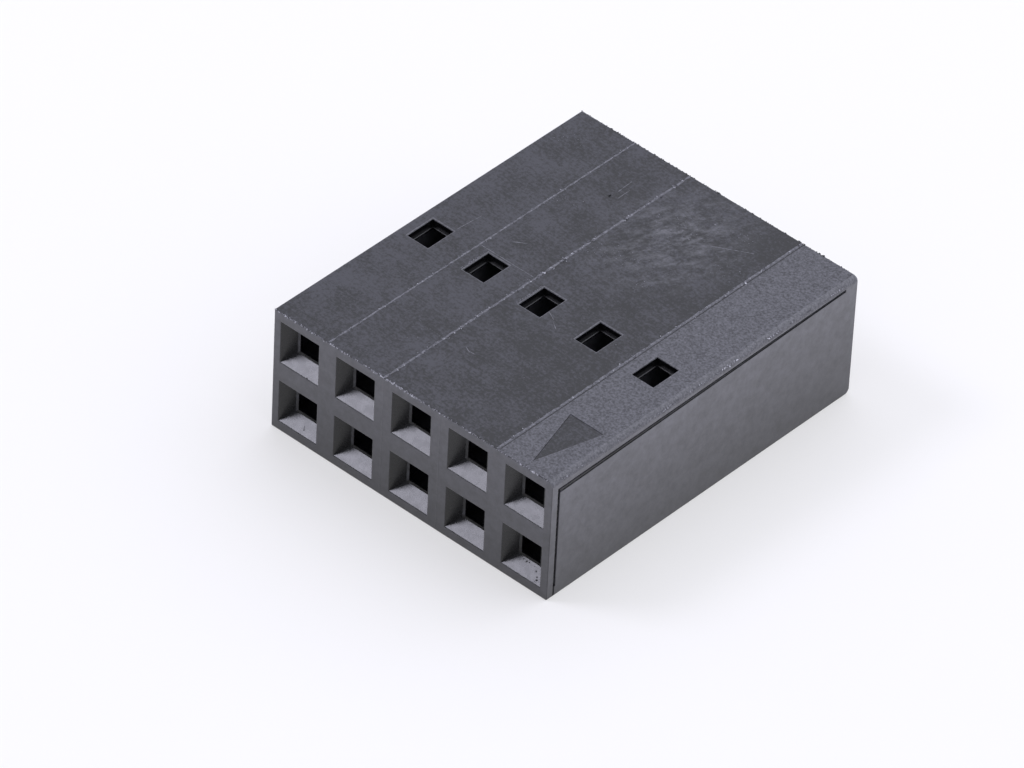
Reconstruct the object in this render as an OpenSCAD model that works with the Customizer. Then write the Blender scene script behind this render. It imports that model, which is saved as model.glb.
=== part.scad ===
// Two-row housing for crimp terminals on a square pin grid, moulded in one piece.
// The columns run along X, the mating face looks to -Y and the terminals go in from the rear, at +Y.
// The origin is under the middle of the housing, on the face that it rests on. All sizes are in mm.

/* [Grid] */
// Distance between columns, and between the two rows
pitch = 2.54; // [2.4:0.01:3]
// Number of columns in each row
columns = 5; // [2:1:12]

/* [Body] */
// Length from the mating face to the rear face
body_length = 15.14; // [12:0.02:20]
// Wall over the terminal cavities, on the top and on the underside
face_wall = 0.36; // [0.3:0.02:0.8]
// Wall beside the terminal cavity at each end
end_wall = 0.28; // [0.28:0.02:0.8]

/* [Terminal cavities] */
// Width of a terminal cavity
cavity_width = 1.8; // [1.6:0.02:2.2]
// Height of a terminal cavity
cavity_height = 1.78; // [1.6:0.02:2.2]

/* [Pin funnels] */
// Side of the square mouth on the mating face
mouth_side = 1.755; // [1.5:0.005:2.1]
// Side of the square floor where the taper ends
floor_side = 1.08; // [0.9:0.02:1.4]
// Depth of the tapered part
funnel_depth = 0.5; // [0.3:0.01:1]
// Side of the square throat in the middle of the floor
throat_side = 0.84; // [0.7:0.02:0.88]
// Length of the throat behind the floor
throat_length = 0.12; // [0.06:0.02:0.6]

/* [Lock windows] */
// Width of a window, along the row
window_width = 0.95; // [0.7:0.01:1.1]
// Length of a window, front to rear
window_length = 1.26; // [0.8:0.02:2]
// Distance from the mating face to the front of the windows
window_front = 5.98; // [4:0.02:8]
// Distance from the middle of a column to the middle of its window
window_shift = 0.28; // [0:0.02:0.3]
// Width of the ledge at the foot of a window
ledge_width = 0.08; // [0.04:0.02:0.2]
// Thickness of the ledge, measured up from the cavity
ledge_height = 0.06; // [0.04:0.02:0.2]

/* [Marked end] */
// Radius of the long top edge at the marked end
top_edge_radius = 0.2; // [0.1:0.02:0.26]

/* [First-circuit mark] */
// Width of the triangle at its base
mark_width = 1.46; // [0.8:0.02:1.8]
// Length of the triangle, from its base to its tip
mark_length = 2.61; // [1:0.01:4]
// Distance from the mating face to the tip
mark_tip = 0.42; // [0.3:0.02:1.4]
// Depth of the triangle
mark_depth = 0.02; // [0.02:0.01:0.15]
// Distance from the middle of the last column to the tip
mark_shift = 0.07; // [0:0.01:0.2]

/* [End panel] */
// Distance from the mating face to the upright groove
panel_front = 0.3; // [0.2:0.02:1]
// Distance from the top down to the long groove, at its front end
panel_drop_front = 0.4; // [0.3:0.02:0.8]
// Distance from the top down to the long groove, at its rear end
panel_drop_rear = 0.22; // [0.22:0.02:0.8]
// Distance from the rear face to the end of the long groove
panel_rear = 0.6; // [0.3:0.02:2]
// Distance from the underside to the foot of the upright groove
panel_foot = 0.4; // [0.1:0.05:2]
// Width of the grooves
groove_width = 0.11; // [0.04:0.01:0.15]
// Width of the long groove at its front end
groove_front_width = 0.2; // [0.06:0.01:0.3]
// Depth of the grooves
groove_depth = 0.05; // [0.02:0.01:0.15]

/* [Hidden] */
$fn = 64;
// Overlap of a cut past the face that it opens
cut = 0.5;

body_width = (columns - 1) * pitch + cavity_width + 2 * end_wall;
body_height = pitch + cavity_height + 2 * face_wall;
plain_end = -body_width / 2;
marked_end = body_width / 2;
mating_face = -body_length / 2;
rear_face = body_length / 2;
row_middle = body_height / 2;
column_x = [for (i = [0 : columns - 1]) (i - (columns - 1) / 2) * pitch];
last_column = column_x[columns - 1];
funnel_end = mating_face + funnel_depth;
cavity_front = funnel_end + throat_length;

// Draws a Y-Z outline as a plate of the given thickness whose outer face lies on the plane X = outer
module end_plate(outer, thickness) {
    translate([outer - thickness, 0, 0])
        rotate([90, 0, 90])
            linear_extrude(thickness)
                children();
}

// Outline seen from the front: square but for the rounded top edge of the marked end
module front_outline() {
    polygon([
        [plain_end, 0],
        [marked_end, 0],
        [marked_end, body_height - top_edge_radius],
        [marked_end - top_edge_radius, body_height],
        [plain_end, body_height]
    ]);
    translate([marked_end - top_edge_radius, body_height - top_edge_radius])
        circle(top_edge_radius);
}

module body_block() {
    translate([0, rear_face, 0])
        rotate([90, 0, 0])
            linear_extrude(body_length)
                front_outline();
}

// Outline of a funnel that narrows to its floor, with the throat behind, carried on past the mating face
module funnel_outline() {
    overshoot = cut * (mouth_side - floor_side) / (2 * funnel_depth);
    outer_half = mouth_side / 2 + overshoot;
    floor_half = floor_side / 2;
    throat_half = throat_side / 2;
    polygon([
        [-outer_half, mating_face - cut],
        [outer_half, mating_face - cut],
        [floor_half, funnel_end],
        [throat_half, funnel_end],
        [throat_half, cavity_front + cut],
        [-throat_half, cavity_front + cut],
        [-throat_half, funnel_end],
        [-floor_half, funnel_end]
    ]);
}

// A square funnel is where its outline drawn across and its outline drawn upright meet
module pin_funnel() {
    reach = mouth_side + 2 * cut;
    intersection() {
        linear_extrude(reach, center = true)
            funnel_outline();
        rotate([0, 90, 0])
            linear_extrude(reach, center = true)
                funnel_outline();
    }
}

module terminal_cavity() {
    translate([-cavity_width / 2, cavity_front, -cavity_height / 2])
        cube([cavity_width, body_length, cavity_height]);
}

// A window opens the cavity upwards, and is narrower at its foot by the ledge
module lock_window() {
    foot = cavity_height / 2;
    translate([-window_shift - window_width / 2, mating_face + window_front, 0]) {
        translate([0, 0, foot + ledge_height])
            cube([window_width, window_length, face_wall + cut]);
        translate([ledge_width, ledge_width, 0])
            cube([window_width - 2 * ledge_width, window_length - 2 * ledge_width, foot + face_wall]);
    }
}

// One circuit, with its axis on Y: funnel, throat, cavity and window
module circuit() {
    pin_funnel();
    terminal_cavity();
    lock_window();
}

// The lower row is the upper row turned half a turn about Y, so that its windows open downwards
module circuits() {
    for (x = column_x, turn = [0, 180])
        translate([0, 0, row_middle])
            rotate([0, turn, 0])
                translate([x, 0, pitch / 2])
                    circuit();
}

module first_circuit_mark() {
    tip = [last_column - mark_shift, mating_face + mark_tip];
    translate([0, 0, body_height - mark_depth])
        linear_extrude(mark_depth + cut)
            polygon([
                tip,
                tip + [mark_width / 2, mark_length],
                tip + [-mark_width / 2, mark_length]
            ]);
}

// The panel of the marked end is outlined by an upright groove and a long one that narrows to the rear
module panel_grooves() {
    front = mating_face + panel_front;
    rear = rear_face - panel_rear;
    front_top = body_height - panel_drop_front;
    rear_top = body_height - panel_drop_rear;
    end_plate(marked_end + cut, groove_depth + cut) {
        polygon([
            [front, front_top],
            [front, front_top - groove_front_width],
            [rear, rear_top - groove_width],
            [rear, rear_top]
        ]);
        translate([front, panel_foot])
            square([groove_width, front_top - panel_foot]);
    }
}

module housing() {
    color("dimgray")
        difference() {
            body_block();
            circuits();
            first_circuit_mark();
            panel_grooves();
        }
}

housing();
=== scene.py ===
"""Looks of a two-row terminal housing, moulded in one piece from black glass-filled polyester.

The columns run along X, the mating face looks to -Y and the lock windows open upwards and downwards.
Properties are in metres, as Blender's are. Pieces are modelled in millimetres and scaled when they are
finished, because bevel and merge have fixed tolerances that suit numbers near one.
"""

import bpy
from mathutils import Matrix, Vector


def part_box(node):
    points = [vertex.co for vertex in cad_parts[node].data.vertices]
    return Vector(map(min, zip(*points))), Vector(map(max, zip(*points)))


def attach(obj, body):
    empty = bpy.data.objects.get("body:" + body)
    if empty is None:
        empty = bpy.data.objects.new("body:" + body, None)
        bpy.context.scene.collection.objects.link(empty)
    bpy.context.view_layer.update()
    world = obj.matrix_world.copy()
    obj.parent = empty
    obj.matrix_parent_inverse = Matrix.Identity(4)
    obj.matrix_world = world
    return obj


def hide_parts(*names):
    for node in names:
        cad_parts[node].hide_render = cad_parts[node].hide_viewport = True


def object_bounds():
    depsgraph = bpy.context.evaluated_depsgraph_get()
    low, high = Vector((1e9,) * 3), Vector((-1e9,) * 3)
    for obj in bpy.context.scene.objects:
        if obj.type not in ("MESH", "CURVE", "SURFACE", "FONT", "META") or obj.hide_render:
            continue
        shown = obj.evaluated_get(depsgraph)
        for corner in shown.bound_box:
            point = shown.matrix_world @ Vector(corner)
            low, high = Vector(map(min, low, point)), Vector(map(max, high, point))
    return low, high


bl_info = {
    "name": "Two-row terminal housing",
    "version": (1, 0, 0),
    "blender": (4, 5, 0),
    "location": "View3D > Sidebar > Housing",
    "description": "Builds the moulded housing with its flash, finishes and studio",
    "category": "Object",
}

import math
import random
from functools import partial
from types import SimpleNamespace

import bmesh
import bpy
from bpy.props import FloatProperty, FloatVectorProperty, IntProperty, PointerProperty
from mathutils import Euler, Matrix, Vector, noise

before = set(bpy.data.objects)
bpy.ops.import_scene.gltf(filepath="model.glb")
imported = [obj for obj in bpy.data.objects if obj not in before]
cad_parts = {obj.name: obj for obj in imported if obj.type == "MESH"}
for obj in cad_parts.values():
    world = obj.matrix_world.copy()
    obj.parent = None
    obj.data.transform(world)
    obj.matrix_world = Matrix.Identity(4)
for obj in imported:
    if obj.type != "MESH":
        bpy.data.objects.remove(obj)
CAD_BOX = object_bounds()

NODE = "housing"
BODY = "root"
MM = 0.001
X_AXIS = Vector((1, 0, 0))
Y_AXIS = Vector((0, 1, 0))
Z_AXIS = Vector((0, 0, 1))
# Distance under which two points are one, in mm
TOUCH = 1e-4
# Cosine over which a face looks straight along a direction
STRAIGHT = 0.9999
# Order of the finishes in the slots of the housing, of the flash and of the dust
SMOOTH, GROUND, SATIN, ERODED, POLISHED, WORN_AND_SHEEN = range(6)
DULL, WHITENED = range(2)
PALE, DARK = range(2)


def linear(code):
    """The linear colour, with alpha, of an sRGB hex value."""
    parts = [int(code[i:i + 2], 16) / 255 for i in (1, 3, 5)]
    return [p / 12.92 if p <= 0.04045 else ((p + 0.055) / 1.055) ** 2.4 for p in parts] + [1.0]


def length(name, description, size):
    """A length's property, with its default given in mm."""
    return FloatProperty(name=name, description=description, default=size * MM, unit="LENGTH")


def colour(name, description, code):
    """A colour's property, with its default given as an sRGB hex value."""
    return FloatVectorProperty(name=name, description=description, default=linear(code), subtype="COLOR",
                               size=4)


class HousingSizes(bpy.types.PropertyGroup):
    """Sizes of the moulded housing. Its outer box comes from the frame."""

    columns: IntProperty(name="Columns", description="Number of columns in each row", default=5)
    pitch: length("Pitch", "Distance between columns and between rows", 2.54)
    cavity_width: length("Cavity width", "Width of a terminal cavity", 1.8)
    cavity_height: length("Cavity height", "Height of a terminal cavity", 1.78)
    mouth_side: length("Mouth side", "Side of the square mouth on the mating face", 1.755)
    floor_side: length("Floor side", "Side of the square floor where the taper ends", 1.08)
    funnel_depth: length("Funnel depth", "Depth of the tapered part", 0.5)
    throat_side: length("Throat side", "Side of the square throat in the floor", 0.84)
    throat_length: length("Throat length", "Length of the throat behind the floor", 0.12)
    window_width: length("Window width", "Width of a lock window, along the row", 0.95)
    window_length: length("Window length", "Length of a window, front to rear", 1.26)
    window_front: length("Window front", "Mating face to the front of the windows", 5.98)
    window_shift: length("Window shift", "Middle of a column to its window's middle", 0.28)
    ledge_width: length("Ledge width", "Width of the ledge at a window's foot", 0.08)
    ledge_height: length("Ledge height", "Thickness of the ledge", 0.06)
    top_edge_radius: length("Top edge radius", "Radius of the marked end's long top edge", 0.2)
    mark_width: length("Mark width", "Width of the triangle at its base", 1.46)
    mark_length: length("Mark length", "Length of the triangle", 2.61)
    mark_tip: length("Mark tip", "Mating face to the triangle's tip", 0.42)
    mark_depth: length("Mark depth", "Depth of the triangle", 0.02)
    mark_shift: length("Mark shift", "Middle of the last column to the tip", 0.07)
    panel_front: length("Panel front", "Mating face to the upright groove", 0.3)
    panel_drop_front: length("Panel drop, front", "Top to the long groove, front end", 0.4)
    panel_drop_rear: length("Panel drop, rear", "Top to the long groove, rear end", 0.22)
    panel_rear: length("Panel rear", "Rear face to the end of the long groove", 0.6)
    panel_foot: length("Panel foot", "Underside to the foot of the upright groove", 0.4)
    groove_width: length("Groove width", "Width of the grooves", 0.11)
    groove_front_width: length("Groove front width", "Long groove's width in front", 0.2)
    groove_depth: length("Groove depth", "Depth of the grooves", 0.05)
    slit_width: length("Slit width", "Width of the deep part of the long groove", 0.07)
    wedge_depth: length("Wedge depth", "Depth of the long groove below its deep part", 0.03)
    gap_place: length("Gap place", "Insert line beside the strip to its hairline gap", 0.08)
    gap_width: length("Gap width", "Width of the hairline gap", 0.035)
    gap_depth: length("Gap depth", "Depth of the hairline gap", 0.007)
    rear_edge: length("Rear edge", "Radius of the lower rear edge", 0.2)
    outer_edge: length("Outer edge", "Radius of the block's outer edges", 0.03)
    mouth_edge: length("Mouth edge", "Radius of the edges of the mouths", 0.025)
    window_edge: length("Window edge", "Radius of the outer edges of the windows", 0.045)
    ledge_edge: length("Ledge edge", "Radius of the inner edge of a window's ledge", 0.03)
    fine_edge: length("Fine edge", "Radius of the edges of the mark and grooves", 0.012)


class FlashSizes(bpy.types.PropertyGroup):
    """Sizes of the flash that the mould's inserts leave, of the scratches and of the dust."""

    seam_width: length("Seam width", "Width of the flash along an insert line", 0.15)
    seam_height: length("Seam height", "Greatest height of the flash on an insert line", 0.008)
    seam_crumbs: IntProperty(name="Seam crumbs", description="Crumbs on a fully worn line", default=220)
    first_seam: length("First seam", "First insert line, from the middle", -3.8)
    second_seam: length("Second seam", "Second insert line, from the middle", -1.275)
    strip_seam: length("Strip seam", "Insert line beside the marked end's strip", 3.77)
    first_wear: FloatProperty(name="First wear", description="How worn the first insert line's edges are",
                              default=0.75, subtype="FACTOR")
    second_wear: FloatProperty(name="Second wear", description="How worn the second insert line's edges are",
                               default=1.0, subtype="FACTOR")
    strip_wear: FloatProperty(name="Strip wear", description="How worn the strip's insert line is",
                              default=0.9, subtype="FACTOR")
    web_width: length("Web line width", "Width of the mating face's lines", 0.14)
    web_height: length("Web line height", "Height of the mating face's lines", 0.005)
    step: length("Step", "Length of one piece of a ragged ridge", 0.07)
    crumb_size: length("Crumb size", "Greatest radius of a crumb of broken flash", 0.05)
    crumb_reach: length("Crumb reach", "Length of a stretch of edge with many crumbs", 0.9)
    edge_crumbs: IntProperty(name="Edge crumbs", description="Crumbs along one long edge", default=200)
    scuff_width: length("Scuff width", "Width of a scratch's raised lip", 0.045)
    scuff_height: length("Scuff height", "Height of a scratch's raised lip", 0.003)
    dust_size: length("Dust size", "Greatest radius of a grain of dust", 0.025)
    dust_reach: length("Dust reach", "Length of a dusty patch", 1.1)
    dust_grains: IntProperty(name="Dust grains", description="Grains in a dusty patch", default=20)


class HousingColours(bpy.types.PropertyGroup):
    """Colours of the moulded polyester, the dust and the floor."""

    polyester: colour("Polyester", "Satin moulded faces", "#050506")
    polyester_pale: colour("Pale polyester", "Paler clouds in the satin", "#36363c")
    smooth: colour("Smooth", "Mating face and rear", "#4c4c50")
    ground: colour("Ground", "Both ends", "#606064")
    eroded: colour("Spark-eroded", "Matt grain of the strip, its hollows", "#323235")
    eroded_pale: colour("Pale spark-eroded", "Matt grain of the strip, tops", "#626267")
    # The worn finish is partly real wear and partly a painted sheen, paler on rounded edges and window rims
    worn: colour("Worn edge", "Rounded long edge and window rims, hollows", "#48484b")
    worn_and_sheen_pale: colour("Pale worn edge", "Rounded long edge and window rims, tops", "#6e6e72")
    polished: colour("Polished", "Funnels, windows and slits", "#08080a")
    flash: colour("Flash", "Thin flash on the insert lines", "#707076")
    whitened: colour("Whitened flash", "Broken flash, crumbs", "#c2c2c8")
    dust: colour("Dust", "Dust and wipe marks", "#96969c")
    floor: colour("Floor", "White board", "#f4f2f3")


class StageSettings(bpy.types.PropertyGroup):
    """Camera, light and floor."""

    azimuth: FloatProperty(name="Azimuth", description="Camera's turn to the right of the mating face",
                           default=math.radians(40.8), subtype="ANGLE")
    elevation: FloatProperty(name="Elevation", description="Camera's height angle",
                             default=math.radians(40.0), subtype="ANGLE")
    roll: FloatProperty(name="Roll", description="Camera's roll",
                        default=math.radians(2.98), subtype="ANGLE")
    distance: length("Distance", "Camera to the point it aims at", 301.25)
    lens: FloatProperty(name="Lens", description="Focal length in mm on a 36 mm sensor", default=316.4)
    aim: FloatVectorProperty(name="Aim", description="Point on the camera's axis", subtype="TRANSLATION",
                             default=(-0.78 * MM, -1.69 * MM, 1.6 * MM))
    ambient: FloatProperty(name="Ambient", description="Light from all round", default=0.77)
    floor_size: length("Floor size", "Half the side of the board", 600)
    floor_drop: length("Floor drop", "Room between the board and the underside", 0.01)


def millimetres(group):
    """A property group's values as plain numbers, with its lengths in mm."""
    values = {}
    for name in type(group).__annotations__:
        value = getattr(group, name)
        values[name] = value / MM if group.bl_rna.properties[name].unit == "LENGTH" else value
    return SimpleNamespace(**values)


def housing_plan(scene):
    """The housing's sizes and places in mm: the properties, the frame's box and what follows from them."""
    low, high = (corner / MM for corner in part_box(NODE))
    plan = millimetres(scene.housing_sizes)
    plan.plain_end, plan.mating, plan.underside = low
    plan.marked_end, plan.rear, plan.top = high
    middle = (plan.columns - 1) / 2
    plan.column_x = [(i - middle) * plan.pitch for i in range(plan.columns)]
    plan.last_column = plan.column_x[-1]
    plan.middle_z = (plan.top + plan.underside) / 2
    plan.row_z = [plan.middle_z - plan.pitch / 2, plan.middle_z + plan.pitch / 2]
    plan.strip_seam = scene.flash_sizes.strip_seam / MM
    plan.strip_end = plan.marked_end - plan.top_edge_radius
    plan.gap_near = plan.strip_seam + plan.gap_place
    plan.gap_far = plan.gap_near + plan.gap_width
    plan.window_near = plan.mating + plan.window_front
    plan.window_far = plan.window_near + plan.window_length
    return plan


def same(a, b):
    """Whether two places on an axis are one."""
    return abs(a - b) < TOUCH


def flat_faces(bm, direction, accept=lambda middle: True):
    """Faces that look along a direction and whose middle is accepted."""
    bm.normal_update()
    return [f for f in bm.faces if f.normal.dot(direction) > STRAIGHT and accept(f.calc_center_bounds())]


def slice_faces(bm, faces, point, normal):
    """Cuts only the given faces along a plane."""
    parts = dict.fromkeys(faces)
    for face in faces:
        parts.update(dict.fromkeys(face.edges))
        parts.update(dict.fromkeys(face.verts))
    bmesh.ops.bisect_plane(bm, geom=list(parts), dist=TOUCH, plane_co=point, plane_no=normal)


def push(bm, face, move, spread=(1, 1, 1)):
    """Extrudes one face, spreads it about its own middle and moves it. Gives back the moved face."""
    middle = face.calc_center_bounds()
    moved = bmesh.ops.extrude_discrete_faces(bm, faces=[face])["faces"][0]
    bmesh.ops.scale(bm, vec=spread, space=Matrix.Translation(-middle), verts=moved.verts)
    bmesh.ops.translate(bm, vec=move, verts=moved.verts)
    return moved


def joined(bm, faces):
    """The one face that stands for neighbouring faces in a plane."""
    if len(faces) == 1:
        return faces[0]
    return bmesh.ops.dissolve_faces(bm, faces=faces)["region"][0]


def face_at(faces, point):
    """The face whose middle is nearest to a point."""
    return min(faces, key=lambda f: (f.calc_center_bounds() - Vector(point)).length)


def round_edges(bm, edges, radius, segments):
    """Rounds edges and leaves the new faces with their neighbours' finish."""
    return bmesh.ops.bevel(bm, geom=edges, offset=radius, offset_type="OFFSET", affect="EDGES",
                           segments=segments, profile=0.5, material=-1)["faces"]


def sharp_edges(bm, accept, angle=math.radians(35)):
    """Edges that turn by more than an angle and whose two ends are both accepted."""
    bm.normal_update()
    return [e for e in bm.edges if e.is_manifold and e.calc_face_angle() > angle
            and all(accept(v.co) for v in e.verts)]


def mould_block(bm, plan):
    """The block: one long top edge and the lower rear edge are well rounded, the others hardly at all."""
    low = Vector((plan.plain_end, plan.mating, plan.underside))
    high = Vector((plan.marked_end, plan.rear, plan.top))
    bmesh.ops.create_cube(bm, size=1.0)
    bmesh.ops.scale(bm, vec=high - low, verts=bm.verts)
    bmesh.ops.translate(bm, vec=(low + high) / 2, verts=bm.verts)

    def at_top_of_marked_end(p):
        return same(p.x, plan.marked_end) and same(p.z, plan.top)

    def at_foot_of_rear(p):
        return same(p.y, plan.rear) and same(p.z, plan.underside)

    rounded = round_edges(bm, sharp_edges(bm, at_top_of_marked_end), plan.top_edge_radius, segments=8)
    rounded += round_edges(bm, sharp_edges(bm, at_foot_of_rear), plan.rear_edge, segments=6)
    for face in rounded:
        face.smooth = True
    round_edges(bm, sharp_edges(bm, lambda p: True), plan.outer_edge, segments=3)


def open_circuits(bm, plan):
    """Ten funnels, each with its floor, its throat, its shoulder and a cavity that runs to the rear."""
    def grid(direction, width, height):
        """Cuts the outlines of all circuits into the faces that look along a direction."""
        for x in plan.column_x:
            for side in (-width / 2, width / 2):
                slice_faces(bm, flat_faces(bm, direction), (x + side, 0, 0), X_AXIS)
        for z in plan.row_z:
            for side in (-height / 2, height / 2):
                slice_faces(bm, flat_faces(bm, direction), (0, 0, z + side), Z_AXIS)

    grid(-Y_AXIS, plan.mouth_side, plan.mouth_side)
    grid(Y_AXIS, plan.cavity_width, plan.cavity_height)
    front, back = flat_faces(bm, -Y_AXIS), flat_faces(bm, Y_AXIS)
    narrow = plan.floor_side / plan.mouth_side
    step = plan.throat_side / plan.floor_side
    wide = (plan.cavity_width / plan.throat_side, 1, plan.cavity_height / plan.throat_side)
    cavity_front = plan.mating + plan.funnel_depth + plan.throat_length
    circuits = []
    for x in plan.column_x:
        for z in plan.row_z:
            circuits.append((face_at(front, (x, plan.mating, z)), face_at(back, (x, plan.rear, z))))
    closed = []
    for mouth, rear_opening in circuits:
        floor = push(bm, mouth, (0, plan.funnel_depth, 0), (narrow, 1, narrow))
        throat = push(bm, floor, (0, 0, 0), (step, 1, step))
        shoulder = push(bm, throat, (0, plan.throat_length, 0))
        cavity = push(bm, shoulder, (0, 0, 0), wide)
        closed += [push(bm, cavity, (0, plan.rear - cavity_front, 0)), rear_opening]
    bmesh.ops.delete(bm, geom=closed, context="FACES")
    bmesh.ops.remove_doubles(bm, verts=bm.verts, dist=TOUCH)


def open_windows(bm, plan):
    """A window with a ledge in the wall over each cavity. The lower row's open downwards."""
    inset = plan.ledge_width
    foot = ((plan.window_width - 2 * inset) / plan.window_width,
            (plan.window_length - 2 * inset) / plan.window_length, 1)

    def cut_window(direction, height, x, margin):
        """Frames a window's outline, less a margin, in the faces at a height; gives back that face."""
        near, far = plan.window_near + margin, plan.window_far - margin
        half = plan.window_width / 2 - margin

        def wall_at(y_from, y_to):
            """Faces at the height that reach across x, with their middle between two distances."""
            faces = flat_faces(bm, direction, lambda p: same(p.z, height) and y_from < p.y < y_to)
            return [f for f in faces if min(v.co.x for v in f.verts) < x < max(v.co.x for v in f.verts)]

        for y in (near, far):
            slice_faces(bm, wall_at(plan.mating, plan.rear), (0, y, 0), Y_AXIS)
        for side in (x - half, x + half):
            slice_faces(bm, wall_at(near, far), (side, 0, 0), X_AXIS)
        return wall_at(near, far)[0]

    for row, z in enumerate(plan.row_z):
        out = 2 * row - 1
        wall = plan.top if row else plan.underside
        ceiling = z + out * plan.cavity_height / 2
        for column in plan.column_x:
            x = column - out * plan.window_shift
            opening = cut_window(Z_AXIS * out, wall, x, 0)
            hatch = cut_window(-Z_AXIS * out, ceiling, x, inset)
            ledge = push(bm, opening, (0, 0, ceiling + out * plan.ledge_height - wall))
            neck = push(bm, ledge, (0, 0, 0), foot)
            end = push(bm, neck, (0, 0, -out * plan.ledge_height))
            bmesh.ops.delete(bm, geom=[hatch, end], context="FACES")
            bmesh.ops.remove_doubles(bm, verts=bm.verts, dist=TOUCH)


def open_insert_gap(bm, plan):
    """The line where the strip's insert met the others, and the hairline gap beside it."""
    def on_top(middle):
        return same(middle.z, plan.top)

    for x in (plan.strip_seam, plan.gap_near, plan.gap_far):
        slice_faces(bm, flat_faces(bm, Z_AXIS, on_top), (x, 0, 0), X_AXIS)
    gap = flat_faces(bm, Z_AXIS, lambda middle: on_top(middle) and plan.gap_near < middle.x < plan.gap_far)
    push(bm, joined(bm, gap), (0, 0, -plan.gap_depth))


def sink_mark(bm, plan):
    """The shallow triangle that points to the first circuit."""
    tip = Vector((plan.last_column - plan.mark_shift, plan.mating + plan.mark_tip, plan.top))
    base = tip.y + plan.mark_length
    slope = plan.mark_width / 2 / plan.mark_length

    def on_strip(middle):
        return middle.x > plan.strip_seam and middle.y < plan.window_near and same(middle.z, plan.top)

    def in_mark(middle):
        beyond_tip = middle.y - tip.y
        return on_strip(middle) and middle.y < base and abs(middle.x - tip.x) < slope * beyond_tip

    slice_faces(bm, flat_faces(bm, Z_AXIS, on_strip), (0, base, 0), Y_AXIS)
    for side in (-1, 1):
        slice_faces(bm, flat_faces(bm, Z_AXIS, on_strip), tip, Vector((1, -side * slope, 0)))
    push(bm, flat_faces(bm, Z_AXIS, in_mark)[0], (0, 0, -plan.mark_depth))


def sink_grooves(bm, plan):
    """The marked end's grooves: an upright slit with a hairline under it, and a long one with a wedge."""
    front, rear = plan.mating + plan.panel_front, plan.rear - plan.panel_rear
    upright_rear = front + plan.groove_width
    hairline_rear = front + plan.slit_width
    foot = plan.underside + plan.panel_foot
    upper = [Vector((0, front, plan.top - plan.panel_drop_front)),
             Vector((0, rear, plan.top - plan.panel_drop_rear))]
    middle = [point - Z_AXIS * plan.slit_width for point in upper]
    lower = [upper[0] - Z_AXIS * plan.groove_front_width, upper[1] - Z_AXIS * plan.groove_width]

    def height(line, y):
        return line[0].lerp(line[1], (y - front) / (rear - front)).z

    def in_slit(p):
        upright = front < p.y < upright_rear and foot < p.z < height(upper, p.y)
        return upright or front < p.y < rear and height(middle, p.y) < p.z < height(upper, p.y)

    def in_wedge(p):
        return upright_rear < p.y < rear and height(lower, p.y) < p.z < height(middle, p.y)

    def in_hairline(p):
        return front < p.y < hairline_rear and p.z < foot

    def end_faces(accept=lambda p: True):
        return flat_faces(bm, X_AXIS, lambda p: same(p.x, plan.marked_end) and accept(p))

    planes = [((0, y, 0), Y_AXIS) for y in (front, hairline_rear, upright_rear, rear)]
    planes += [(line[0], X_AXIS.cross(line[1] - line[0])) for line in (upper, middle, lower)]
    planes += [((0, 0, foot), Z_AXIS)]
    for point, normal in planes:
        slice_faces(bm, end_faces(), point, normal)
    depths = {in_slit: plan.groove_depth, in_wedge: plan.wedge_depth, in_hairline: plan.wedge_depth}
    for accept, depth in depths.items():
        push(bm, joined(bm, end_faces(accept)), (-depth, 0, 0))


def share_finishes(bm, plan):
    """Gives each face its finish.

    Funnels, windows and slits are polished, the ends ground, the strip eroded and the rounded edge worn, its
    paleness partly real wear and partly a painted sheen. The top, the underside, the mark, the shallow
    grooves and the lands beside the throats are satin; the lands above and below the throats stay polished,
    which paints shade on the lower ones. All else is smooth. Window rims come later, worn as a painted
    highlight.
    """
    bm.normal_update()
    skin = plan.groove_depth + TOUCH
    floor = plan.mating + plan.funnel_depth
    for face in bm.faces:
        x, y, z = face.calc_center_bounds()
        on_strip = x > plan.strip_seam and z > plan.top - plan.panel_drop_front
        inside = (abs(x) < plan.marked_end - skin and plan.mating + skin < y < plan.rear - skin
                  and plan.underside + skin < z < plan.top - skin)
        off_row = min(abs(z - row) for row in plan.row_z)
        in_cavity = y > floor + plan.throat_length and off_row < plan.cavity_height / 2 + TOUCH
        paler_painted_land = same(y, floor) and off_row < plan.throat_side / 4
        level = abs(face.normal.z) > 0.5
        to_marked_end = face.normal.x > 0.95
        # The rounded long edge is paler partly from wear and partly as a painted sheen on its rounding
        if on_strip and x > plan.strip_end and face.normal.z > TOUCH:
            face.material_index = WORN_AND_SHEEN
        # The lands at the throats' sides take the paler satin, those above and below the darker polish:
        # painted shade on the lower lands
        elif inside and paler_painted_land:
            face.material_index = SATIN
        elif inside:
            face.material_index = SMOOTH if in_cavity else POLISHED
        elif on_strip and same(z, plan.top):
            face.material_index = ERODED
        elif abs(x) > plan.marked_end - TOUCH:
            face.material_index = GROUND
        elif level:
            face.material_index = SATIN
        elif to_marked_end:
            face.material_index = POLISHED if x < plan.marked_end - plan.wedge_depth - TOUCH else SATIN


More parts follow.
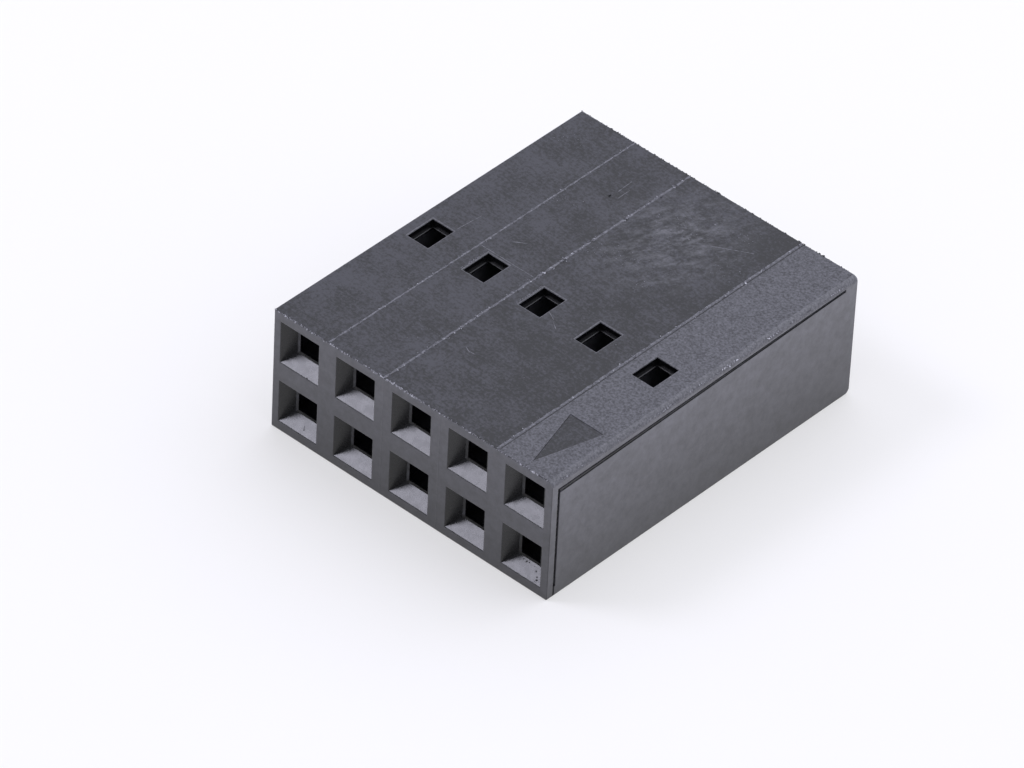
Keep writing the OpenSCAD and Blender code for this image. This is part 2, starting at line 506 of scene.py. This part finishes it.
def soften_details(bm, plan):
    """Takes the edge off mouths, windows, the mark and the grooves."""
    def on_mouth(p):
        return same(p.y, plan.mating)

    def on_window(p):
        on_wall = same(p.z, plan.top) or same(p.z, plan.underside)
        off_gap = p.x < plan.gap_near - TOUCH or p.x > plan.gap_far + TOUCH
        return on_wall and off_gap and plan.window_near - TOUCH < p.y < plan.window_far + TOUCH

    def on_mark(p):
        beyond_gap = p.x > plan.gap_far + TOUCH
        return same(p.z, plan.top) and beyond_gap and p.y < plan.window_near - TOUCH

    def on_groove(p):
        return same(p.x, plan.marked_end)

    def on_ledge(p):
        return same(abs(p.z - plan.middle_z) - plan.pitch / 2 - plan.cavity_height / 2, plan.ledge_height)

    round_edges(bm, [e for e in sharp_edges(bm, on_ledge) if e.is_convex], plan.ledge_edge, segments=3)
    # The window rims take the paler worn finish as a painted highlight on their rounding
    for rim in round_edges(bm, sharp_edges(bm, on_window), plan.window_edge, segments=3):
        rim.material_index = WORN_AND_SHEEN
    round_edges(bm, sharp_edges(bm, on_mouth), plan.mouth_edge, segments=2)
    round_edges(bm, sharp_edges(bm, on_mark) + sharp_edges(bm, on_groove), plan.fine_edge, segments=2)
    # The rounding leaves faces of no area where grooves of two depths meet, and dissolving them leaves flaps
    bmesh.ops.dissolve_degenerate(bm, edges=bm.edges, dist=TOUCH)
    flaps = [f for f in bm.faces if any(e.is_boundary for e in f.edges)]
    bmesh.ops.delete(bm, geom=flaps, context="FACES")


POLYESTER_IOR = 1.57
# Sizes of the finishes' patterns in mm. The mottle and the spark grain are finer on the real thing, and are
# drawn as coarse as they need to be to show
MOTTLE = 0.1
CLOUD = 1.4
SPARK_GRAIN = 0.078
POLISH_GRAIN = 0.25
RUB_GRAIN = 0.4
CRUMB_GRAIN = 0.14
# Grinding lines and smears of dust: reach of one along X, Y and Z in mm, and how they are turned
GRINDING = {"Scale": (1.1, 0.07, 0.07), "Rotation": (0, 0, math.radians(-4))}
SMEARS = {"Scale": (0.35, 0.8, 0.5), "Rotation": (0, 0, math.radians(-25))}
# The dusty haze on the top: its middle and its reach each way, in mm
HAZE = {"Location": (0.6, 4.6, 5.0), "Scale": (2.8, 4.0, 4.0)}
# Painted shade on the upright faces, darker towards their foot: their tone there as a share of that at their
# top
SMOOTH_FOOT_SHADE = 0.52
GROUND_FOOT_SHADE = 0.42
# Sockets of a Mix node that mixes colours: its factor, its two colours and its result
FACTOR, FIRST, SECOND, MIXED = 0, 6, 7, 2


def fill(node, inputs):
    """Fills a node's inputs with values, or with links from sockets or from the first output of nodes."""
    for socket, value in inputs.items():
        if isinstance(value, bpy.types.Node):
            value = value.outputs[0]
        if isinstance(value, bpy.types.NodeSocket):
            node.id_data.links.new(value, node.inputs[socket])
        else:
            node.inputs[socket].default_value = value


def add_node(tree, kind, inputs, **settings):
    """Adds a shader node, sets its own settings and fills its inputs."""
    node = tree.nodes.new("ShaderNode" + kind)
    for name, value in settings.items():
        setattr(node, name, value)
    fill(node, inputs)
    return node


def node_adder(block):
    """Clears the nodes of a new material or world, and gives back add_node for its tree."""
    block.use_nodes = True
    block.node_tree.nodes.clear()
    return partial(add_node, block.node_tree)


def new_polyester(name):
    """A polyester material, what adds nodes to it, its shader and the object's own coordinates in mm."""
    material = bpy.data.materials.new(name)
    add = node_adder(material)
    shader = add("BsdfPrincipled", {"IOR": POLYESTER_IOR})
    add("OutputMaterial", {"Surface": shader})
    place = add("TexCoord", {})
    scaled = add("Mapping", {"Vector": place.outputs["Object"], "Scale": (1 / MM,) * 3}, vector_type="POINT")
    return material, add, shader, scaled


def satin_polyester(colours):
    """Black glass-filled polyester from a fine-ground mould.

    A dull satin, mottled and finely lined along X, with painted light that makes it a little paler towards
    the plain end, and a haze of smeared dust over the rear of the middle columns.
    """
    material, add, shader, place = new_polyester("satin_polyester")
    mottle = add("TexNoise", {"Vector": place, "Scale": 1 / MOTTLE, "Detail": 4.0, "Roughness": 0.65})
    cloud = add("TexNoise", {"Vector": place, "Scale": 1 / CLOUD, "Detail": 4.0, "Roughness": 0.6})
    grinding = add("Mapping", {"Vector": place, **GRINDING}, vector_type="TEXTURE")
    lines = add("TexNoise", {"Vector": grinding, "Scale": 1.0, "Detail": 3.0, "Roughness": 0.6})
    across = add("SeparateXYZ", {0: place})
    # The tone is the sum of lines, mottle, clouds and the place along X, which paints a light gradient, each
    # with its weight
    fine = add("Math", {0: mottle, 1: 3.0, 2: lines}, operation="MULTIPLY_ADD")
    clouded = add("Math", {0: cloud, 1: 1.5, 2: fine}, operation="MULTIPLY_ADD")
    # Painted light: the top grows paler towards the plain end
    painted_light_gradient = add("Math", {0: across.outputs["X"], 1: -0.034, 2: clouded}, operation="MULTIPLY_ADD")
    tone = add("MapRange", {"Value": painted_light_gradient, "From Min": 2.5, "From Max": 3.18})
    body = add("Mix", {
        FACTOR: tone, FIRST: colours.polyester, SECOND: colours.polyester_pale}, data_type="RGBA")
    # The haze fades out round its middle, and lies in flecks
    hazy = add("Mapping", {"Vector": place, **HAZE}, vector_type="TEXTURE")
    fading = add("TexGradient", {"Vector": hazy}, gradient_type="SPHERICAL")
    smears = add("Mapping", {"Vector": place, **SMEARS}, vector_type="TEXTURE")
    flecks = add("TexNoise", {"Vector": smears, "Scale": 1.0, "Detail": 8.0, "Roughness": 0.8})
    flecks_on = add("MapRange", {"Value": flecks, "From Min": 0.45, "From Max": 0.75, "To Max": 0.62})
    haze = add("Math", {0: fading.outputs[1], 1: flecks_on}, operation="MULTIPLY")
    dusty = add("Mix", {FACTOR: haze, FIRST: body.outputs[MIXED], SECOND: colours.dust}, data_type="RGBA")
    rough = add("MapRange", {"Value": mottle, "To Min": 0.36, "To Max": 0.56})
    bump = add("Bump", {"Height": fine, "Distance": 0.003 * MM, "Strength": 0.6})
    fill(shader, {"Base Color": dusty.outputs[MIXED], "Roughness": rough, "Normal": bump})
    return material


def eroded_polyester(name, hollow, crest):
    """The same polyester from a spark-eroded insert: a matt, even grain that looks paler."""
    material, add, shader, place = new_polyester(name)
    grain = add("TexNoise", {"Vector": place, "Scale": 1 / SPARK_GRAIN, "Detail": 3.0, "Roughness": 0.6})
    tone = add("MapRange", {"Value": grain, "From Min": 0.32, "From Max": 0.68})
    body = add("Mix", {FACTOR: tone, FIRST: hollow, SECOND: crest}, data_type="RGBA")
    bump = add("Bump", {"Height": grain, "Distance": 0.01 * MM, "Strength": 0.8})
    fill(shader, {"Base Color": body.outputs[MIXED], "Roughness": 0.62, "Normal": bump})
    return material


def polished_polyester(colours):
    """The same polyester from polished core pins: smooth enough to carry the lamp's pale reflection."""
    material, add, shader, place = new_polyester("polished_polyester")
    fine = add("TexNoise", {"Vector": place, "Scale": 1 / POLISH_GRAIN, "Detail": 3.0})
    rough = add("MapRange", {"Value": fine, "To Min": 0.22, "To Max": 0.32})
    bump = add("Bump", {"Height": fine, "Distance": 0.001 * MM, "Strength": 0.3})
    fill(shader, {"Base Color": colours.polished, "Roughness": rough, "Normal": bump})
    return material


def smooth_polyester(name, middle, foot=1.0):
    """The same polyester from the mould's sides: smooth, faintly mottled, with painted shade that darkens it
    towards the foot.
    """
    material, add, shader, place = new_polyester(name)
    cloud = add("TexNoise", {"Vector": place, "Scale": 1 / RUB_GRAIN, "Detail": 7.0, "Roughness": 0.75})
    tone = add("MapRange", {"Value": cloud, "From Min": 0.3, "From Max": 0.7})
    darker, paler = ([part * share for part in middle[:3]] + [1.0] for share in (0.65, 1.35))
    mottled = add("Mix", {FACTOR: tone, FIRST: darker, SECOND: paler}, data_type="RGBA")
    height = add("SeparateXYZ", {0: place})
    # Painted shade: the tone falls from the top to the foot's share at the underside
    painted_light_gradient = add("MapRange", {"Value": height.outputs["Z"], "From Max": CAD_BOX[1][2] / MM, "To Min": foot})
    body = add("Mix", {FACTOR: 1.0, FIRST: mottled.outputs[MIXED], SECOND: painted_light_gradient},
               data_type="RGBA", blend_type="MULTIPLY")
    rough = add("MapRange", {"Value": cloud, "To Min": 0.3, "To Max": 0.42})
    bump = add("Bump", {"Height": cloud, "Distance": 0.008 * MM, "Strength": 0.5})
    fill(shader, {"Base Color": body.outputs[MIXED], "Roughness": rough, "Normal": bump})
    return material


def flash_polyester(name, dull, pale):
    """Polyester flash, a few hundredths thick: stressed white in crumbs, dull where it has broken off."""
    material, add, shader, place = new_polyester(name)
    crumbs = add("TexNoise", {"Vector": place, "Scale": 1 / CRUMB_GRAIN, "Detail": 3.0})
    tone = add("MapRange", {"Value": crumbs, "From Min": 0.35, "From Max": 0.65})
    body = add("Mix", {FACTOR: tone, FIRST: dull, SECOND: pale}, data_type="RGBA")
    fill(shader, {"Base Color": body.outputs[MIXED], "Roughness": 0.6})
    return material


def finished_piece(name, bm, materials):
    """Scales a modelled piece to metres, makes its object and seats it on the housing's body."""
    bmesh.ops.scale(bm, vec=(MM,) * 3, verts=bm.verts)
    bm.normal_update()
    mesh = bpy.data.meshes.new(name)
    bm.to_mesh(mesh)
    bm.free()
    for material in materials:
        mesh.materials.append(material)
    piece = bpy.data.objects.new(name, mesh)
    bpy.context.scene.collection.objects.link(piece)
    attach(piece, BODY)
    return piece


class HOUSING_OT_shell(bpy.types.Operator):
    """Builds the moulded housing in place of the plain solid"""

    bl_idname = "housing.build_shell"
    bl_label = "Moulded housing"

    def execute(self, context):
        plan = housing_plan(context.scene)
        colours = context.scene.housing_colours
        bm = bmesh.new()
        for shape in (mould_block, open_circuits, open_windows, open_insert_gap, sink_mark, sink_grooves,
                      share_finishes, soften_details):
            shape(bm, plan)
        finishes = {
            # The smooth and ground finishes carry painted shade towards their foot
            SMOOTH: smooth_polyester("smooth_polyester", colours.smooth, SMOOTH_FOOT_SHADE),
            GROUND: smooth_polyester("ground_polyester", colours.ground, GROUND_FOOT_SHADE),
            SATIN: satin_polyester(colours),
            ERODED: eroded_polyester("spark_eroded_polyester", colours.eroded, colours.eroded_pale),
            POLISHED: polished_polyester(colours),
            # Worn edges: partly real wear, partly a painted sheen
            WORN_AND_SHEEN: eroded_polyester("worn_edge_and_sheen_polyester", colours.worn, colours.worn_and_sheen_pale),
        }
        shell = finished_piece("housing_shell", bm, [finishes[index] for index in sorted(finishes)])
        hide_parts(NODE)
        return {"FINISHED"}


def ragged_ridge(bm, start, end, out, width, height, step, seed):
    """A low ridge of flash from start to end, whose crest rises, falls and sways."""
    # Steps in the noise from one piece of the ridge to the next
    swell, chip, bend = 0.31, 1.7, 0.23
    # Shares of the height: the crest at its lowest, on average and at its highest, and what the chips add
    lowest, mean, highest, chips = -0.4, 0.6, 1.0, 0.6
    along = end - start
    count = max(2, round(along.length / step))
    stride = along / count
    side = along.normalized().cross(out) * width / 2
    sunk = out * height / 2
    face = bm.faces.new([bm.verts.new(p) for p in (start - side - sunk, start + side - sunk, start)])
    for i in range(1, count + 1):
        face = push(bm, face, stride)
        base = start + stride * i
        crest = min(face.verts, key=lambda v: (v.co - base).length)
        rise = noise.noise(Vector((i * swell, seed, 0))) + chips * noise.noise(Vector((i * chip, seed, 3)))
        sway = noise.noise(Vector((i * bend, seed, 7))) * width / 4
        crest.co = base + out * height * max(lowest, min(highest, mean + rise)) + side.normalized() * sway
    bmesh.ops.holes_fill(bm, edges=[e for e in bm.edges if e.is_boundary], sides=3)
    bmesh.ops.recalc_face_normals(bm, faces=bm.faces)


def sprinkle(bm, chance, start, end, spread, size, count, finish):
    """Crumbs at random places round the line from start to end, each of its own size, shape and turn."""
    # The least size, and the least width and the thickness of a crumb, as shares of the greatest
    smallest, narrowest, thickness = 0.2, 0.4, 0.4
    for _ in range(count):
        place = start.lerp(end, chance.random()) + spread * chance.gauss(0, 1)
        form = Vector((1.0, chance.uniform(narrowest, 1.0), thickness))
        shape = form * size * chance.uniform(smallest, 1.0)
        turn = Euler([chance.uniform(0, math.tau) for _ in range(3)])
        crumb = bmesh.ops.create_icosphere(bm, subdivisions=1, radius=1.0,
                                           matrix=Matrix.LocRotScale(place, turn, shape))
        for vert in crumb["verts"]:
            for face in vert.link_faces:
                face.material_index = finish


# Seeds of the crumbs and of the dust, and the first seeds of the mating face's lines and of the scratches
FLASH_SEED, DUST_SEED = 5, 11
LINE_SEED, SCRATCH_SEED = 20, 40
# Depth of the middle of a rounded edge, as a share of its radius
EDGE_MIDDLE = 0.3
# How far down its curve the rounded long edge is worn most
CROWN_LEAN = math.radians(52)
# Crumbs all along the edges: how far they stray in mm, and their sizes by finish, as shares of the largest
FRONT_CRUMBS = (0.015, (1.0, 0.8))
CROWN_CRUMBS = (0.03, (0.6, 0.35))
REAR_CRUMBS = (0.01, (0.7,))
# Where most of the broken flash is left on the mating face's top edge, in mm from the middle
WORN_PLACES = (-5.6, -1.35, -0.9, -0.45, 0.0, 5.1)
# Where the rounded long edge is rubbed most, in mm from the mating face
RUBBED_PLACES = (0.6, 5.8, 6.9, 8.1, 8.6, 9.0, 9.3, 10.9, 14.1)
# Where the rear edge's burr is thick, in mm from the middle
BURR_PLACES = (-3.8, -1.3, 0.0, 3.8, 4.7)
# Crumbs at each such place: how far they stray in mm, their size as a share of the largest, and their number
WORN_CRUMBS = (0.02, 0.9, 18)
RUBBED_CRUMBS = (0.03, 0.9, 10)
BURR_CRUMBS = (0.1, 1.2, 5)


def add_seam_flash(plan, flash, chance, finishes):
    """Flash along the insert lines, with dull and whitened crumbs where it has broken."""
    bm = bmesh.new()
    front, rear = plan.mating + plan.outer_edge, plan.rear - plan.outer_edge
    seams = ((flash.first_seam, flash.first_wear), (flash.second_seam, flash.second_wear),
             (flash.strip_seam, flash.strip_wear))
    for seed, (x, wear) in enumerate(seams):
        ends = Vector((x, front, plan.top)), Vector((x, rear, plan.top))
        width, size = flash.seam_width * wear, flash.crumb_size * wear
        crumbs = round(flash.seam_crumbs * wear)
        ragged_ridge(bm, *ends, Z_AXIS, width, flash.seam_height * wear, flash.step, seed)
        sprinkle(bm, chance, *ends, X_AXIS * width / 4, size, crumbs, DULL)
        sprinkle(bm, chance, *ends, X_AXIS * width / 3, size, crumbs // 3, WHITENED)
    finished_piece("insert_line_flash", bm, finishes)


def add_face_lines(plan, flash, colours):
    """Low upright lines on the mating face, on the webs where its inserts met."""
    bm = bmesh.new()
    low, high = plan.underside + plan.outer_edge, plan.top - plan.outer_edge
    for seed, x in enumerate((flash.second_seam, -flash.second_seam), LINE_SEED):
        ragged_ridge(bm, Vector((x, plan.mating, low)), Vector((x, plan.mating, high)), -Y_AXIS,
                     flash.web_width, flash.web_height, flash.step, seed)
    # The lines carry the same painted shade towards their foot as the mating face
    finish = smooth_polyester("line_polyester", colours.smooth, SMOOTH_FOOT_SHADE)
    finished_piece("mating_face_lines", bm, [finish])


def crumble_edge(bm, chance, flash, start, end, across, crumbs):
    """Crumbs of each finish all along an edge."""
    stray, shares = crumbs
    for finish, share in enumerate(shares):
        sprinkle(bm, chance, start, end, across * stray, flash.crumb_size * share, flash.edge_crumbs, finish)


def crumble_places(bm, chance, flash, places, reach, across, crumbs, finish):
    """A cluster of crumbs on each of some places, within a reach to both sides."""
    stray, share, count = crumbs
    for place in places:
        sprinkle(bm, chance, place - reach, place + reach, across * stray, flash.crumb_size * share, count,
                 finish)


def add_edge_crumbs(plan, flash, chance, finishes):
    """Broken flash on the mating face's top edge and on the rounded long edge."""
    bm = bmesh.new()
    inset = plan.outer_edge * EDGE_MIDDLE
    edge = Vector((0, plan.mating + inset, plan.top - inset))
    crumble_edge(bm, chance, flash, edge + X_AXIS * plan.plain_end, edge + X_AXIS * plan.strip_end, Y_AXIS,
                 FRONT_CRUMBS)
    crumble_places(bm, chance, flash, [edge + X_AXIS * x for x in WORN_PLACES],
                   X_AXIS * flash.crumb_reach / 2, Y_AXIS, WORN_CRUMBS, WHITENED)
    crown = Vector((plan.strip_end + plan.top_edge_radius * math.sin(CROWN_LEAN), 0,
                    plan.top - plan.top_edge_radius * (1 - math.cos(CROWN_LEAN))))
    front, rear = plan.mating + plan.outer_edge, plan.rear - plan.outer_edge
    crumble_edge(bm, chance, flash, crown + Y_AXIS * front, crown + Y_AXIS * rear, X_AXIS, CROWN_CRUMBS)
    crumble_places(bm, chance, flash, [crown + Y_AXIS * (plan.mating + y) for y in RUBBED_PLACES],
                   Y_AXIS * flash.crumb_reach / 2, X_AXIS, RUBBED_CRUMBS, WHITENED)
    finished_piece("edge_crumbs", bm, finishes)


def add_rear_burr(plan, flash, chance, colours):
    """A fine burr along the rear's top edge, thick in a few places."""
    bm = bmesh.new()
    inset = plan.outer_edge * EDGE_MIDDLE
    edge = Vector((0, plan.rear - inset, plan.top - inset))
    crumble_edge(bm, chance, flash, edge + X_AXIS * plan.plain_end, edge + X_AXIS * plan.strip_end, Z_AXIS,
                 REAR_CRUMBS)
    crumble_places(bm, chance, flash, [edge + X_AXIS * x for x in BURR_PLACES], Vector(), X_AXIS,
                   BURR_CRUMBS, DULL)
    finished_piece("rear_edge_burr", bm, [smooth_polyester("burr_polyester", colours.polyester)])


class HOUSING_OT_flash(bpy.types.Operator):
    """Builds the flash along the insert lines and the crumbs on the edges"""

    bl_idname = "housing.build_flash"
    bl_label = "Parting flash"

    def execute(self, context):
        plan = housing_plan(context.scene)
        colours = context.scene.housing_colours
        flash = millimetres(context.scene.flash_sizes)
        chance = random.Random(FLASH_SEED)
        finishes = [flash_polyester("dull_flash_polyester", colours.smooth, colours.flash),
                    flash_polyester("whitened_flash_polyester", colours.flash, colours.whitened)]
        add_seam_flash(plan, flash, chance, finishes)
        add_face_lines(plan, flash, colours)
        add_edge_crumbs(plan, flash, chance, finishes)
        add_rear_burr(plan, flash, chance, colours)
        return {"FINISHED"}


# Scratches on the top: both ends of each, in mm from the middle and from the mating face
SCRATCHES = (
    ((0.22, 6.4), (0.62, 6.2)),
    ((0.7, 6.1), (1.02, 5.88)),
    ((-0.48, 3.11), (-0.2, 2.97)),
    ((-0.3, 3.0), (0.0, 3.02)),
    ((-4.78, 8.53), (-4.88, 7.4)),
    ((-2.47, 13.5), (-2.43, 12.75)),
    ((-2.2, 13.1), (-2.19, 12.5)),
    ((1.68, 12.8), (3.0, 13.55)),
    ((-3.1, 8.25), (-2.7, 8.52)),
    ((-3.75, 7.36), (-1.35, 7.36)),
)
# Pale bands where a slide rubbed beside two windows: both ends of each, measured in the same way
RUBBED_BANDS = (((-3.37, 5.98), (-3.37, 7.3)), ((-0.83, 5.98), (-0.83, 7.24)))
# Grains in a band, as a multiple of those in a dusty patch
BAND_GRAINS = 3
# Middles of the dusty patches on the top, measured in the same way
DUSTY_PLACES = ((-0.7, 9.86), (-0.4, 10.3), (0.24, 10.35), (1.2, 9.6), (-0.2, 12.6), (0.46, 13.4),
                (0.9, 12.6), (2.1, 14.0), (-3.4, 11.2), (-5.4, 13.6), (-2.0, 2.7), (2.9, 12.2))
# Single pale grains on the top, measured in the same way
PALE_GRAINS = ((-0.43, 12.47), (1.07, 13.77), (1.96, 3.3), (-1.28, 5.6), (2.96, 6.7))
# Dark grains on the top and in the grooves, in mm from the middle, the mating face and the top
DARK_GRAINS = ((-2.5, 12.42, 0), (-2.48, 12.36, 0), (6.24, 13.08, -0.27), (6.24, 13.16, -0.26),
               (6.23, 0.33, -4.98), (6.04, 14.98, -0.01))
# Specks on the funnels' lower walls: column, row, then mm from the column's middle and the mating face
FUNNEL_SPECKS = ((0, 0, 0.16, 0.16), (0, 0, 0.14, 0.2), (0, 0, 0.13, 0.25), (0, 1, 0.35, 0.03),
                 (4, 0, -0.25, 0.43), (4, 0, -0.12, 0.41), (4, 0, 0.0, 0.43), (4, 0, 0.12, 0.4),
                 (4, 0, 0.25, 0.42), (4, 0, 0.4, 0.33), (4, 0, 0.55, 0.2), (4, 0, 0.62, 0.13),
                 (4, 0, 0.6, 0.06))
# Single grains and specks: their stray in mm, their size as a share of the largest crumb, and their number
PALE_GRAIN = (0.0, 1.0, 1)
DARK_GRAIN = (0.0, 1.3, 1)
SPECK = (0.01, 1.0, 2)


def add_scratches(flash, colours, on_top):
    """The raised lips of scratches on the top."""
    bm = bmesh.new()
    for seed, (start, end) in enumerate(SCRATCHES, SCRATCH_SEED):
        ragged_ridge(bm, on_top(start), on_top(end), Z_AXIS, flash.scuff_width, flash.scuff_height,
                     flash.step, seed)
    finish = flash_polyester("scratched_polyester", colours.smooth, colours.flash)
    finished_piece("top_scratches", bm, [finish])


def add_dust(plan, flash, colours, chance, on_top):
    """Dust and rubbed bands on the top, and single grains and specks on it and in the funnels."""
    bm = bmesh.new()
    reach = X_AXIS * flash.dust_reach / 2
    for place in DUSTY_PLACES:
        middle = on_top(place)
        sprinkle(bm, chance, middle - reach, middle + reach, Y_AXIS * flash.dust_reach / 4, flash.dust_size,
                 flash.dust_grains, PALE)
    for start, end in RUBBED_BANDS:
        sprinkle(bm, chance, on_top(start), on_top(end), X_AXIS * flash.dust_size, flash.dust_size,
                 flash.dust_grains * BAND_GRAINS, PALE)
    slope = (plan.mouth_side - plan.floor_side) / 2 / plan.funnel_depth
    specks = []
    for column, row, across, depth in FUNNEL_SPECKS:
        drop = plan.mouth_side / 2 - slope * depth
        specks.append(Vector((plan.column_x[column] + across, plan.mating + depth, plan.row_z[row] - drop)))
    dark = [on_top((x, y)) + Z_AXIS * z for x, y, z in DARK_GRAINS]
    pale = [on_top(place) for place in PALE_GRAINS]
    singles = ((pale, PALE_GRAIN, PALE), (dark, DARK_GRAIN, DARK), (specks, SPECK, DARK))
    for places, grains, finish in singles:
        crumble_places(bm, chance, flash, places, Vector(), X_AXIS, grains, finish)
    finished_piece("dust_grains", bm, [flash_polyester("dust", colours.flash, colours.dust),
                                       smooth_polyester("dark_grain", colours.polished)])


class HOUSING_OT_scuffs(bpy.types.Operator):
    """Builds the scratches and the dust"""

    bl_idname = "housing.build_scuffs"
    bl_label = "Scuffs and dust"

    def execute(self, context):
        plan = housing_plan(context.scene)
        colours = context.scene.housing_colours
        flash = millimetres(context.scene.flash_sizes)

        def on_top(place):
            return Vector((place[0], plan.mating + place[1], plan.top))

        add_scratches(flash, colours, on_top)
        add_dust(plan, flash, colours, random.Random(DUST_SEED), on_top)
        return {"FINISHED"}


# Square soft boxes: direction from the housing, distance and side in m, power in W, and tint
LAMPS = {
    "key": ((-0.55, -0.375, 0.745), 0.4, 0.12, 0.44, "#efeeff"),
    "overhead": ((-0.1, 0.5, 0.86), 0.3, 0.36, 0.28, "#f4f5ff"),
    "rear_fill": ((0.55, 0.45, 0.7), 0.3, 0.4, 0.28, "#f4f5ff"),
}
# The tent's tint, and how strongly it lights in front and in the rear, as shares of the ambient light
TENT_TINT = linear("#eef0ff")
TENT_FRONT, TENT_REAR = 0.7, 1.3
# Share of plain white in what the eye sees of the board, its strength and its tint
BOARD_SHARE, BOARD_WHITE, BOARD_TINT = 0.45, 0.95, linear("#fffffa")
# The camera's sensor in mm, and its nearest and farthest sight in m
SENSOR = 36.0
NEAREST, FARTHEST = 0.01, 10.0


def studio_lamp(name, aim, towards, distance, size, power, tint):
    """A soft box that looks at the housing from a direction."""
    data = bpy.data.lights.new(name, "AREA")
    data.shape = "SQUARE"
    data.size = size
    data.energy = power
    data.color = linear(tint)[:3]
    lamp = bpy.data.objects.new(name, data)
    direction = Vector(towards).normalized()
    turn = direction.to_track_quat("Z", "Y").to_matrix().to_4x4()
    lamp.matrix_world = Matrix.Translation(aim + direction * distance) @ turn
    bpy.context.scene.collection.objects.link(lamp)


def sight_rays(add):
    """One for the rays that show things: the camera's own, mirrored ones and those through glass."""
    rays = add("LightPath", {}).outputs
    straight = add("Math", {0: rays["Is Camera Ray"], 1: rays["Is Glossy Ray"]}, operation="ADD")
    return add("Math", {0: straight, 1: rays["Is Transmission Ray"]}, operation="ADD", use_clamp=True)


def white_board(colours):
    """Matt white board: to the eye it is partly plain white, so that it stays white and keeps a shadow."""
    material = bpy.data.materials.new("matt_white_board")
    add = node_adder(material)
    seen = add("Math", {0: sight_rays(add), 1: BOARD_SHARE}, operation="MULTIPLY")
    diffuse = add("BsdfDiffuse", {"Color": colours.floor})
    plain = add("Emission", {"Color": BOARD_TINT, "Strength": BOARD_WHITE})
    both = add("MixShader", {0: seen, 1: diffuse, 2: plain})
    add("OutputMaterial", {"Surface": both})
    return material


def studio_world(ambient):
    """A cool white tent that lights less in front, where it is open, and looks white at its foot."""
    world = bpy.data.worlds.new("studio")
    add = node_adder(world)
    facing = add("TexCoord", {})
    way = add("SeparateXYZ", {0: facing.outputs["Generated"]}).outputs
    strength = add("MapRange", {
        "Value": way["Y"], "From Min": -1.0, "To Min": ambient * TENT_FRONT, "To Max": ambient * TENT_REAR})
    tent = add("Background", {"Color": TENT_TINT, "Strength": strength})
    looks = add("MapRange", {
        "Value": way["Z"], "From Min": 0.2, "From Max": 0.6, "To Min": 1.0, "To Max": 0.75})
    white = add("Background", {"Color": TENT_TINT, "Strength": looks})
    both = add("MixShader", {0: sight_rays(add), 1: tent, 2: white})
    add("OutputWorld", {"Surface": both})
    return world


def studio_floor(scene, stage):
    """A board a hair under the housing, so that the two faces don't lie in one plane."""
    bm = bmesh.new()
    bmesh.ops.create_grid(bm, x_segments=1, y_segments=1, size=stage.floor_size,
                          matrix=Matrix.Translation(Z_AXIS * -stage.floor_drop))
    mesh = bpy.data.meshes.new("floor")
    bm.to_mesh(mesh)
    bm.free()
    mesh.materials.append(white_board(scene.housing_colours))
    floor = bpy.data.objects.new("floor", mesh)
    scene.collection.objects.link(floor)


def studio_camera(scene, stage, aim):
    """The camera, turned to the right of the mating face, raised and rolled."""
    a, e = stage.azimuth, stage.elevation
    back = Vector((math.sin(a) * math.cos(e), -math.cos(a) * math.cos(e), math.sin(e)))
    level = Vector((math.cos(a), math.sin(a), 0))
    right = level * math.cos(stage.roll) + back.cross(level) * math.sin(stage.roll)
    turn = Matrix((right, back.cross(right), back)).transposed().to_4x4()
    data = bpy.data.cameras.new("camera")
    data.lens = stage.lens
    data.sensor_width = SENSOR
    data.clip_start = NEAREST
    data.clip_end = FARTHEST
    camera = bpy.data.objects.new("camera", data)
    camera.matrix_world = Matrix.Translation(aim + back * stage.distance) @ turn
    scene.collection.objects.link(camera)
    scene.camera = camera


class HOUSING_OT_stage(bpy.types.Operator):
    """Builds the floor, the lamps and the camera"""

    bl_idname = "housing.build_stage"
    bl_label = "Studio"

    def execute(self, context):
        scene = context.scene
        stage = scene.stage_settings
        aim = Vector(stage.aim)
        studio_floor(scene, stage)
        scene.world = studio_world(stage.ambient)
        for name, settings in LAMPS.items():
            studio_lamp(name, aim, *settings)
        studio_camera(scene, stage, aim)
        scene.view_settings.view_transform = "Standard"
        return {"FINISHED"}


class HOUSING_PT_panel(bpy.types.Panel):
    """Lists the housing's pieces"""

    bl_idname = "HOUSING_PT_panel"
    bl_label = "Terminal housing"
    bl_space_type = "VIEW_3D"
    bl_region_type = "UI"
    bl_category = "Housing"

    def draw(self, context):
        for operator in OPERATORS:
            self.layout.operator(operator.bl_idname)


OPERATORS = (HOUSING_OT_shell, HOUSING_OT_flash, HOUSING_OT_scuffs, HOUSING_OT_stage)
GROUPS = {
    "housing_sizes": HousingSizes,
    "flash_sizes": FlashSizes,
    "housing_colours": HousingColours,
    "stage_settings": StageSettings,
}


def register():
    for cls in (*GROUPS.values(), *OPERATORS, HOUSING_PT_panel):
        bpy.utils.register_class(cls)
    for name, cls in GROUPS.items():
        setattr(bpy.types.Scene, name, PointerProperty(type=cls))


def unregister():
    for name in GROUPS:
        delattr(bpy.types.Scene, name)
    for cls in (HOUSING_PT_panel, *OPERATORS, *GROUPS.values()):
        bpy.utils.unregister_class(cls)


def main():
    register()
    bpy.ops.housing.build_shell()
    bpy.ops.housing.build_flash()
    bpy.ops.housing.build_scuffs()
    bpy.ops.housing.build_stage()


if __name__ == "__main__":
    main()
